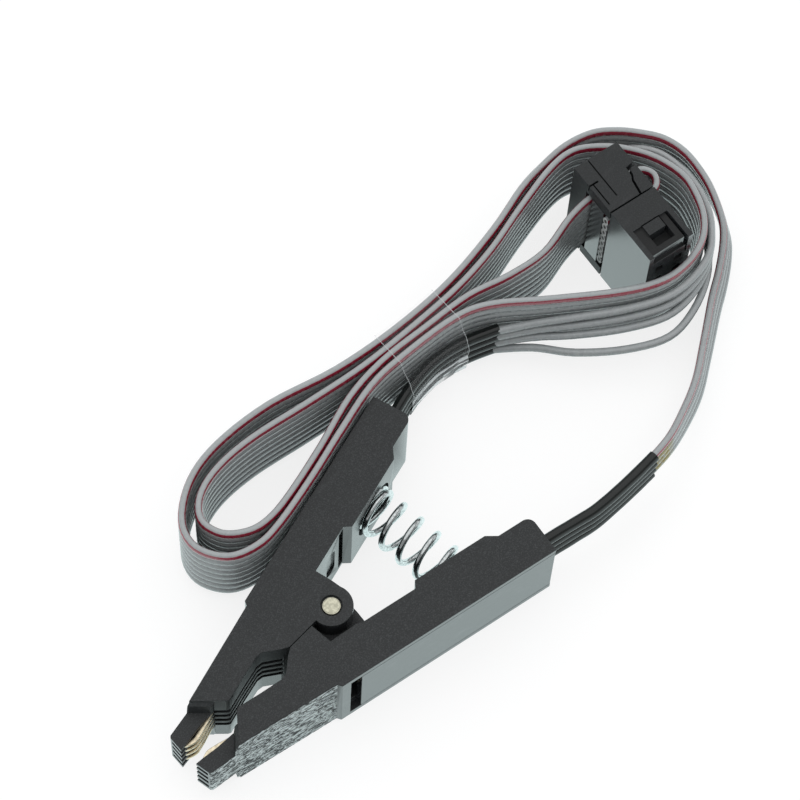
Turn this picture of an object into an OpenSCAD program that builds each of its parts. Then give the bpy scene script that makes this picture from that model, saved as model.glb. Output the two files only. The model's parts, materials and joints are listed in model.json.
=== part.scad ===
// A spring test clip for an eight-lead chip, lying flat, with its ribbon cable and 2x4 socket.
// The hinge pin stands on the Z axis, +X runs from the jaws to the handles, +Y is towards the
// left arm, and z = 0 is the surface that the clip lies on.  Both arms are one moulding: the
// right one is the left one turned over about the X axis.

/* [Clip] */
// Thickness of the arms, top to bottom
clip_h = 10.2; // [9.6:0.1:11.5]
// Thickness of the noses of the jaws
nose_h = 5.5; // [5.4:0.1:6.4]
// Reach of the handles behind the pin and of the noses ahead of it
reach = 21.4; // [20.6:0.1:23]
// Angle of each handle's side to the centre line
side_angle = 13; // [12:0.5:14]
// Thickness of a handle, side to side
handle_w = 4.7; // [4.6:0.1:5.2]
// Extra thickness of the handle around the spring
seat_rise = 0.8; // [0.5:0.1:1.2]
// Gap between the stop faces of the arms at rest, each side
stop_gap = 0.03; // [0.02:0.01:0.08]

/* [Hinge] */
// Diameter of the hinge pin
pin_d = 2; // [1.8:0.1:2.2]
// Radius of the ears around the pin
ear_r = 2.3; // [2.1:0.1:2.5]
// Gap between one ear and the next
ear_gap = 0.1; // [0.06:0.02:0.2]
// Radial clearance of the pin in the right arm
pin_clear = 0.03; // [0.02:0.01:0.06]

/* [Spring] */
// Outer diameter of the spring
spring_d = 5.6; // [5:0.1:6]
// Wire of the spring
spring_wire = 0.7; // [0.6:0.05:0.8]
// Distance of the spring from the pin
spring_x = 12.6; // [12:0.1:13]
// Distance from the centre line to the floor of each spring pocket
pocket_y = 6.6; // [6.3:0.1:6.7]
// Turns of the open part of the spring
open_turns = 4.25; // [3.25:1:5.25]

/* [Contacts] */
// Pitch of the chip's leads, and of the ribbon cable's wires
lead_pitch = 1.27; // [1.27]
// Width of the slots in the jaws
slot_w = 0.65; // [0.5:0.05:0.75]
// Width of a contact blade, in plan
contact_w = 0.5; // [0.4:0.05:0.6]
// Thickness of a contact blade
contact_t = 0.32; // [0.25:0.01:0.4]

/* [Wire channel] */
// Thickness of the cover over the wire channel
cover_t = 0.9; // [0.7:0.1:1.2]
// Height left above and below the cover
flange_h = 0.8; // [0.6:0.1:1.1]
// Length of the channel's open window ahead of the cover
window_l = 1.35; // [1:0.05:2]
// Clearance around the cover
cover_clear = 0.03; // [0.02:0.01:0.1]
// Diameter of a shrink sleeve
sleeve_d = 1.3; // [1.1:0.1:1.3]
// Pitch at which the sleeves are stacked
sleeve_pitch = 1.45; // [1.4:0.01:1.5]

/* [Cable] */
// Thickness of the ribbon cable
ribbon_t = 0.85; // [0.7:0.05:0.9]
// Diameter of a single wire
wire_d = 1.1; // [0.9:0.05:1.15]
// Thickness of the tape round the cable
tape_t = 0.12; // [0.1:0.01:0.2]
// Width of the tape
tape_w = 8; // [6:0.5:10]

/* [Socket] */
// Length of the socket along its pins
socket_h = 14.7; // [14.5:0.1:16]
// Width of the socket across its two rows
socket_w = 5.84; // [5.8:0.02:6.4]
// Depth of the socket's body
socket_body = 7.15; // [6.8:0.05:8]
// Depth of the socket's cover bar
cover_bar = 2.2; // [2:0.1:2.4]
// Depth of the strain relief bar
relief_bar = 2.5; // [2:0.1:3]
// Pitch of the socket's pins
pin_pitch = 2.54; // [2.54]

/* [Hidden] */

$fn = 48;
mid_z = clip_h / 2;
nose_z = mid_z - nose_h / 2;
ear_h = clip_h / 4;
// the slots, the contacts and the sleeves come in fours, stacked from the top down
stack = [1.5, 0.5, -0.5, -1.5];

// the handle's side starts at this step, where the coarse front of the arm ends
side = [-5.75, 6.9];
side_step = 0.5;
corner = 1;
side_l = corner + (reach - corner - side[0] - (handle_w - corner) * sin(side_angle)) / cos(side_angle);
seat_from = 12.3;
seat_to = 22.3;
window_s = 1.1;
cover_s = window_s + window_l;
cover_end = side_l - 0.02;
sleeve_t = handle_w / 2;
sleeve_room = 0.1;
channel_d = sleeve_t + sleeve_d / 2 + sleeve_room;

// plan of the jaw, from the stop face to the tip and back along the outside
tooth = [-14.7, 0.57];
step_in = [-15, 0.75];
step_out = [-17.6, 3.5];
nose_in = [[-16, 1.6], [-18.6, 1.43], [-reach + 0.9, 1.15]];
nose_tip = [[-reach, 1.05], [-reach + 0.2, 2.75], [-reach + 0.4, 2.95]];
slot_floor = 2.45;
slot_back = -6.9;
jaw = [[-6.25, stop_gap], [-7.1, 0.5], [-8.7, 1.68], [-9.4, 1.78], [-11.9, 1.25], tooth, step_in];
step_l = norm(step_out - step_in);
step_run = 0.45;

// the upright slot and the rounded panel in the inner face of the handle
core_w = 0.85;
core_d = 1.2;
core_skin = 0.6;
panel_w = 1.7;
panel_h = 3.4;
panel_d = 0.25;

// the recess in which the other arm's ears lie
recess = [[0.91, 3.58], [0.25, 3.25], [-2.97, 2.62], [-3.03, stop_gap]];
ear_root = [[2.2, 0.5], [2.06, 1.82], [1.65, 4.1]];

// a contact blade, from the wire channel out to its hooked tip
contact_line = [
    [-3.2, 5.6], [-6.2, 4.2], [-reach + 7.4, 2.62], [-reach + 5, 1.8],
    [-reach + 3.2, 1.25], [-reach + 1.95, 0.95], [-reach + 1, 1.25], [-reach + 0.5, 1.75]
];

// the socket stands on its end inside the loops of the cable
socket_at = [55.44, 7.11];
socket_turn = -12.4;
joint_v = 0.5;
fold_v = joint_v + ribbon_t / 2 + cover_bar + ribbon_t / 2 + 0.1;
fold_u = 4.9;
slot_gap = 0.06;
joint_gap = 0.14;
groove = 0.24;
latch_w = 4.6;
latch_l = 3.9;
latch_d = 1.6;
latch_step = 0.4;
frame_d = 0.3;
block = [2.2, 1.4];
// the edge of the cover's legs, which the strain relief's legs follow a groove away
leg_edge = [[1.33, 0.03], [1.62, 1.8], [1.93, 2.35], [2.05, 3.05]];
ribbon_w = 8 * lead_pitch - 0.1;
ribbon_z = ribbon_w / 2 + 0.25;
socket_z = socket_h / 2;

function in_socket(u, v, z) = [
    socket_at[0] + u * cos(socket_turn) - v * sin(socket_turn),
    socket_at[1] + u * sin(socket_turn) + v * cos(socket_turn),
    z
];

// the cable's centre line: through the socket, round both pairs of loops and on to the split
fold_route = [
    in_socket(2 - fold_u, joint_v, socket_z), in_socket(0, joint_v, socket_z),
    in_socket(fold_u - 2, joint_v, socket_z), in_socket(fold_u - 0.6, joint_v + 0.4, socket_z),
    in_socket(fold_u, (joint_v + fold_v) / 2, socket_z), in_socket(fold_u - 0.6, fold_v - 0.4, socket_z),
    in_socket(fold_u - 2, fold_v, socket_z), in_socket(0, fold_v, socket_z),
    in_socket(2 - fold_u, fold_v, socket_z)
];
ribbon_xy = [
    [41, 11.75], [36, 13.4], [30, 14.2], [24, 14.85], [18.5, 14.5], [12, 12.8], [6, 11.5],
    [2.5, 11.15], [0, 11.75], [-2.1, 13.6], [-2.5, 16.2], [-0.6, 18.2], [3, 19.1],
    [8, 18.8], [15, 17.3], [22, 15.95], [29, 15.25], [36, 14.9], [42, 15.3], [48, 16.4],
    [54, 17.2], [57.4, 16.8], [59.9, 14.9], [61.7, 12.5], [63, 9.5], [63.35, 6.3],
    [62.7, 3.9], [61, 1.1], [58.5, -0.75], [55.3, -1.35], [52, -0.8], [48, 1.5], [42, 6.5],
    [37, 10.9], [33, 12.7], [26, 13.65], [21, 13.75], [15, 12.55], [9, 11.15], [3, 10.05],
    [-0.5, 10], [-3.6, 11.4], [-5.1, 14.6], [-3.9, 17.7], [0, 20.2], [5, 21], [12, 20.2],
    [20, 17.75], [28, 16.4], [36, 16], [44, 16.75], [50, 17.9]
];
ribbon_route = concat(
    fold_route,
    [[50.5, 11.5, 6.6], [46, 11.05, 5.7]],
    [for (p = ribbon_xy) [p[0], p[1], ribbon_z]]
);
split = [50, 17.9];
upper_z = ribbon_z + 2 * lead_pitch;
lower_z = ribbon_z - 2 * lead_pitch;
// the striped half goes outside the loops to the right arm
right_route = [
    [50.05, 17.92, upper_z], [54, 18.35, 8], [57.6, 18.1, 8.2], [60.8, 17, 8.2],
    [63, 15.2, 8.1], [64.7, 13, 8], [65.9, 10.8, 7.9], [66.3, 8.2, 7.7], [65.9, 5.5, 7.3],
    [65.1, 3, 6.7], [63.6, 0.1, 5.6], [61.9, -1.6, 4.6], [59.4, -3.2, 3.5], [56.7, -4.6, 3],
    [51.8, -7.5, 2.8], [47.7, -9.8, 3], [43.5, -11.4, 3.8], [39.6, -12.5, 4.8],
    [37.4, -12.85, mid_z]
];
// the plain half comes back inside it to the left arm; its wires bow apart by the last value
left_route = [
    [50.05, 17.92, lower_z, 0], [54, 18.3, lower_z, 0], [57.6, 17.9, lower_z, 0],
    [60.3, 16, 3.9, 0], [62.2, 14.3, 5.7, 0], [63.6, 12.3, 6.9, 0], [64.5, 9.9, 7.3, 0],
    [64.6, 7, 7.3, 0], [64, 4.2, 7.3, 0], [62.7, 1.6, 7.3, 0], [61, -0.3, 7.3, 0.05], [58.7, -1.9, 7.3, 0.3],
    [55.3, -2.5, 7.2, 0.7], [51.6, -1.9, 7, 1], [47.3, 0.6, 6.8, 1], [43, 4.1, 6.3, 0.8],
    [39.7, 7, 5.7, 0.35], [37.2, 9.05, mid_z, 0]
];
spread_dir = [-0.6, -0.8];
spread = [0, 0.45, 1.1, 3];

// the sleeves leave each arm at the middle of its rear face
sleeve_from = 12;
left_bend = [[23.6, 11.32], [26.2, 11.75], [29.2, 11.85], [32, 11.35], [34.6, 10.4], [36.8, 9.35]];
right_bend = [[25.6, -11.8], [28.2, -12.4], [32.6, -12.75], [36.9, -12.85]];

tape_at = [29.7, 13.72];
tape_turn = -4.5;
tape_in = [6.6, ribbon_w + 0.2];

spring_r = (spring_d - spring_wire) / 2;
close_turns = 1.5;
close_pitch = spring_wire + 0.05;
coil_l = 2 * pocket_y - spring_wire - 0.02;
open_pitch = (coil_l - 2 * close_turns * close_pitch) / open_turns;
coil_turns = open_turns + 2 * close_turns;

// ---- curves and sweeps ----

function clamp(i, n) = min(max(i, 0), n - 1);

// a smooth curve through the route's points, as many rings to each stretch as it bends
function on_curve(p, i, t) =
    let (n = len(p), a = p[clamp(i - 1, n)], b = p[i], c = p[clamp(i + 1, n)], d = p[clamp(i + 2, n)])
    (2 * b + (c - a) * t + (2 * a - 5 * b + 4 * c - d) * t * t + (3 * b - a - 3 * c + d) * t * t * t) / 2;

function turn(a, b) = norm(a) * norm(b) == 0 ? 0 : acos(min(1, a * b / norm(a) / norm(b)));

function rings(p, i) =
    let (n = len(p), u = p[i] - p[clamp(i - 1, n)], v = p[i + 1] - p[i], w = p[clamp(i + 2, n)] - p[i + 1])
    turn(u, v) + turn(v, w) > 45 ? 2 : 1;

function curve(p) = concat(
    [for (i = [0:len(p) - 2], k = [0:rings(p, i) - 1]) on_curve(p, i, k / rings(p, i))],
    [p[len(p) - 1]]
);

function flat_dir(p, i) =
    let (d = p[clamp(i + 1, len(p))] - p[clamp(i - 1, len(p))])
    [d[0], d[1]] / norm([d[0], d[1]]);

function oval(w, h) = [for (a = [22.5:45:359]) [w / 2 * cos(a), h / 2 * sin(a)] / cos(22.5)];

function strip(t, h) =
    let (c = t / 4)
    [[t/2, -h/2+c], [t/2, h/2-c], [t/2-c, h/2], [c-t/2, h/2],
     [-t/2, h/2-c], [-t/2, c-h/2], [c-t/2, -h/2], [t/2-c, -h/2]];

// joins rings of points, each as long as the first, into one closed solid
module skin(ring_list) {
    n = len(ring_list[0]);
    last = len(ring_list) - 1;
    polyhedron(
        points = [for (r = ring_list) each r],
        faces = concat(
            [[for (j = [0:n - 1]) j]],
            [for (i = [0:last - 1], j = [0:n - 1])
                let (k = (j + 1) % n) [i * n + j, (i + 1) * n + j, (i + 1) * n + k]],
            [for (i = [0:last - 1], j = [0:n - 1])
                let (k = (j + 1) % n) [i * n + j, (i + 1) * n + k, i * n + k]],
            [[for (j = [n - 1:-1:0]) last * n + j]]
        ),
        convexity = 12
    );
}

// sweeps an upright section, given as [across, up], along a route that stays nearly level
module sweep(path, section) {
    skin([for (i = [0:len(path) - 1])
        let (d = flat_dir(path, i))
        [for (s = section) [path[i][0] - d[1] * s[0], path[i][1] + d[0] * s[0], path[i][2] + s[1]]]
    ]);
}

// ---- the arms ----

// from a handle's own lines, along its side and in from it, to the plan of the clip
function on_side(s, t) = [
    side[0] + s * cos(side_angle) + t * sin(side_angle),
    side[1] + s * sin(side_angle) - t * cos(side_angle)
];

module along_side() {
    translate(concat(side, 0)) rotate(side_angle) children();
}

// the left arm's things, turned over for the right arm
module turned_over() {
    translate([0, 0, clip_h]) rotate([180, 0, 0]) children();
}

module slab(z0, z1, outline) {
    translate([0, 0, z0]) linear_extrude(z1 - z0) polygon(outline);
}

module arm_plan() {
    polygon(concat(
        jaw,
        [step_out, [side[0] - 0.25, side[1] - side_step], side, on_side(4, 0), on_side(7, handle_w - 0.4)],
        recess
    ));
    intersection() {
        along_side() handle_plan();
        polygon([on_side(3, 0), on_side(3, handle_w), on_side(side_l, 2 * handle_w), on_side(side_l, 0)]);
    }
}

module handle_plan() {
    translate([0, -handle_w]) square([side_l - corner, handle_w]);
    translate([side_l - corner, corner - handle_w]) circle(corner);
    translate([side_l - corner, corner - handle_w]) square([corner, handle_w - corner]);
    polygon([
        [seat_from, -handle_w], [seat_from + 0.5, -handle_w - seat_rise],
        [seat_to - 0.6, -handle_w - seat_rise], [seat_to + 0.6, -handle_w], [seat_to, -1], [seat_from, -1]
    ]);
}

module nose_plan() {
    polygon(concat([tooth + [0, 1.5]], nose_in, nose_tip, [step_out, step_out + [1.5, 0.2]]));
}

// the slope from the full thickness down to the nose, on both faces
module nose_slopes() {
    intersection() {
        linear_extrude(clip_h) nose_plan();
        translate(concat(step_in, 0)) rotate(atan2(step_out[1] - step_in[1], step_out[0] - step_in[0]))
            for (top = [0, 1])
                translate([-1, 0, mid_z]) mirror([0, 0, top]) rotate([90, 0, 90])
                    linear_extrude(step_l + 2)
                        polygon([[-0.4, 0], [step_run, 0], [step_run, nose_h / 2], [0.3, clip_h / 2 - 0.7],
                            [-0.4, clip_h / 2 - 0.1]]);
    }
}

module ears() {
    for (z = [ear_h, 3 * ear_h]) {
        top = z + ear_h < clip_h - 0.1 ? z + ear_h - ear_gap / 2 : clip_h;
        translate([0, 0, z + ear_gap / 2]) cylinder(r = ear_r, h = top - z - ear_gap / 2);
        slab(z + ear_gap / 2, top, concat([[recess[3][0] - 0.07, stop_gap], [0.1 - ear_r, stop_gap], [0, 0]], ear_root,
            [on_side(7, handle_w - 0.4), [recess[3][0] - 0.07, 4.2]]));
    }
}

// slots that part the jaw into five blades and lead each contact back to the wire channel
module contact_slots() {
    for (k = stack)
        slab(mid_z + k * lead_pitch - slot_w / 2, mid_z + k * lead_pitch + slot_w / 2, [
            [-reach - 1, -1], [-reach - 1, slot_floor], [5.9 - reach, slot_floor + 0.4],
            contact_line[1] + [-0.2, 0.45], contact_line[0] + [-0.7, 0.6], contact_line[0] + [0.2, -0.2],
            contact_line[1] + [0, -0.5], [slot_back, contact_line[1][1] - 0.9], [slot_back, -1]
        ]);
}

module wire_channel() {
    inner_h = clip_h - 2 * flange_h - 2 * cover_t;
    along_side() {
        translate([window_s, -cover_t, flange_h]) cube([side_l, cover_t + 1, clip_h - 2 * flange_h]);
        translate([window_s, -channel_d, (clip_h - inner_h) / 2])
            cube([side_l - window_s - 1.2, channel_d, inner_h]);
        outlet_h = 3 * sleeve_pitch + sleeve_d + 2 * sleeve_room;
        translate([side_l - 2, -channel_d, mid_z - outlet_h / 2])
            cube([3, sleeve_d + 2 * sleeve_room, outlet_h]);
    }
}

module spring_pocket() {
    translate([spring_x, pocket_y, mid_z]) rotate([90, 0, 0]) cylinder(d = spring_d + 0.6, h = pocket_y);
}

// the upright slot and the panel cored out of the handle's inner face
module core_outs() {
    along_side() {
        translate([seat_from - core_w, -handle_w - 1, core_skin])
            cube([core_w, core_d + 1, clip_h - 2 * core_skin]);
        translate([seat_from - core_w - panel_w, -handle_w + panel_d, mid_z]) rotate([90, 0, 0])
            linear_extrude(panel_d + 1) hull() for (z = [-panel_h, panel_h] / 2)
                translate([0, z]) circle(panel_w / 2);
    }
}

module arm(bore_r) {
    difference() {
        union() {
            linear_extrude(clip_h) arm_plan();
            slab(nose_z, nose_z + nose_h, concat([tooth + [0, 1.5]], nose_in, nose_tip,
                [step_out, step_out + [1.5, 0.2]]));
            nose_slopes();
            ears();
        }
        contact_slots();
        wire_channel();
        spring_pocket();
        core_outs();
        translate([0, 0, -1]) cylinder(r = bore_r, h = clip_h + 2);
        translate([0, 0, clip_h - 0.35]) cylinder(r = pin_d / 2 + 0.15, h = 1);
    }
}

module cover() {
    h = clip_h - 2 * flange_h - 2 * cover_clear;
    along_side() translate([cover_s, -cover_t, flange_h + cover_clear]) cube([cover_end - cover_s, cover_t, h]);
}

// ---- the hinge and the spring ----

module hinge_pin() {
    chamfer = 0.15;
    color("wheat") rotate_extrude()
        polygon([[0, 0.05], [pin_d / 2 - chamfer, 0.05], [pin_d / 2, 0.05 + chamfer],
            [pin_d / 2, clip_h - 0.05 - chamfer], [pin_d / 2 - chamfer, clip_h - 0.05], [0, clip_h - 0.05]]);
}

// how far along its length the spring's wire has come after so many turns
function coil_y(n) =
    let (a = min(n, close_turns), b = min(max(n - close_turns, 0), open_turns), c = max(n - close_turns - open_turns, 0))
    (a + c) * close_pitch + b * open_pitch - coil_l / 2;

module spring() {
    steps = 12;
    color("silver") skin([for (i = [0:coil_turns * steps])
        let (a = i * 360 / steps, y = coil_y(i / steps))
        [for (b = [0:45:359])
            let (r = spring_r + spring_wire / 2 * cos(b))
            [spring_x + r * cos(a), y - spring_wire / 2 * sin(b), mid_z - r * sin(a)]]
    ]);
}

// ---- the contacts and the sleeves ----

function side_dir(p, i) = let (d = flat_dir(p, i)) [-d[1], d[0]] * contact_w / 2;

module contact(k) {
    outline = concat(
        [for (i = [0:len(contact_line) - 1]) contact_line[i] + side_dir(contact_line, i)],
        [for (i = [len(contact_line) - 1:-1:0]) contact_line[i] - side_dir(contact_line, i)]
    );
    z = mid_z + stack[k - 1] * lead_pitch;
    color("gold") slab(z - contact_t / 2, z + contact_t / 2, outline);
}

module sleeve(k, start, bend) {
    z = mid_z + stack[k - 1] * sleeve_pitch;
    path = [for (p = concat(start, bend)) [p[0], p[1], z]];
    color("black") sweep(path, oval(sleeve_d * cos(22.5), sleeve_d * cos(22.5)));
}

// ---- the cable ----

module ribbon_cable() {
    color("darkgray") sweep(curve(ribbon_route), strip(ribbon_t, ribbon_w));
}

function wire(route, k) = [for (p = route)
    let (w = len(p) > 3 ? p[3] * spread[k] : 0)
    [p[0] + w * spread_dir[0], p[1] + w * spread_dir[1], p[2] + stack[k] * lead_pitch]];

module left_wires() {
    color("darkgray") for (k = [0:3]) sweep(curve(wire(left_route, k)), oval(ribbon_t, wire_d));
}

module right_wires() {
    color("darkgray") for (k = [0:3]) sweep(curve(wire(right_route, k)), oval(ribbon_t, wire_d));
}

module cable_tape() {
    color("white") translate(concat(tape_at, ribbon_z)) rotate(tape_turn) difference() {
        cube([tape_w, tape_in[0] + 2 * tape_t, tape_in[1] + 2 * tape_t], center = true);
        cube([tape_w + 1, tape_in[0], tape_in[1]], center = true);
    }
}

// ---- the socket ----

module in_socket_frame() {
    translate(concat(socket_at, 0)) rotate(socket_turn) children();
}

module pin_places() {
    for (row = [-0.5, 0.5], k = stack)
        translate([row * pin_pitch, 0, socket_z + k * pin_pitch]) children();
}

// the latch in each end: a sunk frame round a pocket, with a block on the pocket's back wall
module latch() {
    back = latch_l - socket_body;
    translate([-latch_w / 2, -socket_body - 1, -frame_d]) cube([latch_w, latch_l + 1, frame_d + 1]);
    translate([-latch_w / 2, -socket_body - 1, -latch_d]) cube([latch_w, latch_step + 1, latch_d + 1]);
    difference() {
        translate([-block[0] / 2, back - block[1] * 2, -latch_d]) cube([block[0] + 0.2, block[1] * 2, latch_d]);
        translate([-block[0] / 2, back - block[1], -latch_d]) cube([block[0], block[1] + 1, latch_d + 1]);
    }
    translate([latch_w / 2 - groove, -socket_body - 1, -2 * latch_d]) cube([groove, latch_l + 1, 3 * latch_d]);
}

module socket_body() {
    color("dimgray") in_socket_frame() difference() {
        translate([-socket_w / 2, -socket_body, 0]) cube([socket_w, socket_body - joint_gap, socket_h]);
        for (end = [0, 1]) translate([0, 0, socket_z]) mirror([0, 0, end]) translate([0, 0, socket_z])
            difference() {
                latch();
                translate([-block[0] / 2, latch_l - socket_body - block[1], -latch_d])
                    cube([block[0], block[1] + 0.5, latch_d + 2]);
            }
        pin_places() translate([-0.5, -socket_body - 1, -0.5]) cube([1, socket_body + 0.4, 1]);
    }
}

module socket_contacts() {
    color("gold") in_socket_frame() pin_places()
        translate([-0.5, -socket_body + 0.5, -0.4]) cube([0.25, socket_body - 1.1, 0.8]);
}

module socket_cover() {
    v0 = joint_v + ribbon_t / 2 + slot_gap;
    v1 = v0 + cover_bar - 2 * slot_gap;
    leg = (socket_h - ribbon_w) / 2 - 0.3;
    color("dimgray") in_socket_frame() {
        translate([-socket_w / 2, v0, 1.7]) cube([socket_w, v1 - v0, socket_h - 3.4]);
        for (z = [0, socket_h - leg])
            slab(z, z + leg, concat(leg_edge, [[socket_w / 2, v1 + 0.25], [socket_w / 2, leg_edge[0][1]]]));
    }
}

module strain_relief() {
    v0 = fold_v + ribbon_t / 2 + slot_gap;
    v1 = v0 + relief_bar;
    leg = 1.6;
    line = groove / 2;
    color("dimgray") in_socket_frame() difference() {
        union() {
            translate([-socket_w / 2, v0, 0]) cube([socket_w, v1 - v0, socket_h]);
            for (z = [0, socket_h - leg])
                slab(z, z + leg, concat([[-socket_w / 2, leg_edge[0][1]]], [for (p = leg_edge) p - [groove, 0]],
                    [[leg_edge[3][0] - groove, v0 - 0.65], [socket_w / 2, v0 - 0.5],
                        [socket_w / 2, v0 + 0.1], [-socket_w / 2, v0 + 0.1]]));
        }
        for (z = [0, socket_h]) {
            translate([-1.15, 1.3, z - groove]) cube([line, v1, 2 * groove]);
            translate([-socket_w / 2 - 1, fold_v + 0.1, z - 1]) cube([2.2, 1.5 * line, 2]);
            translate([-socket_w / 2 + 0.45, ribbon_t, z - 1]) cube([line, fold_v - ribbon_t + 0.15, 2]);
        }
    }
}

// ---- one line for each node ----

color("#2f3133") arm(pin_d / 2);  // left_arm
color("#2f3133") turned_over() arm(pin_d / 2 + pin_clear);  // right_arm
color("#3a3c3f") cover();  // left_cover
color("#3a3c3f") turned_over() cover();  // right_cover
hinge_pin();
spring();
for (k = [1:4]) {
    inside = [on_side(sleeve_from + 0.5, sleeve_t), on_side(side_l, sleeve_t)];
    contact(k);
    turned_over() contact(5 - k);
    sleeve(k, inside, left_bend);
    sleeve(k, [for (p = inside) [p[0], -p[1]]], right_bend);
}
ribbon_cable();
left_wires();
right_wires();
cable_tape();
socket_body();
socket_cover();
strain_relief();
socket_contacts();
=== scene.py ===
"""Dresses a spring test clip for an eight-lead chip, with its ribbon cable and 2x4 socket.

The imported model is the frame: every piece here takes its place from it, in metres, with the
hinge pin on the Z axis, +X from the jaws to the handles and z = 0 the surface underneath.
"""

import json
import math

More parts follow.
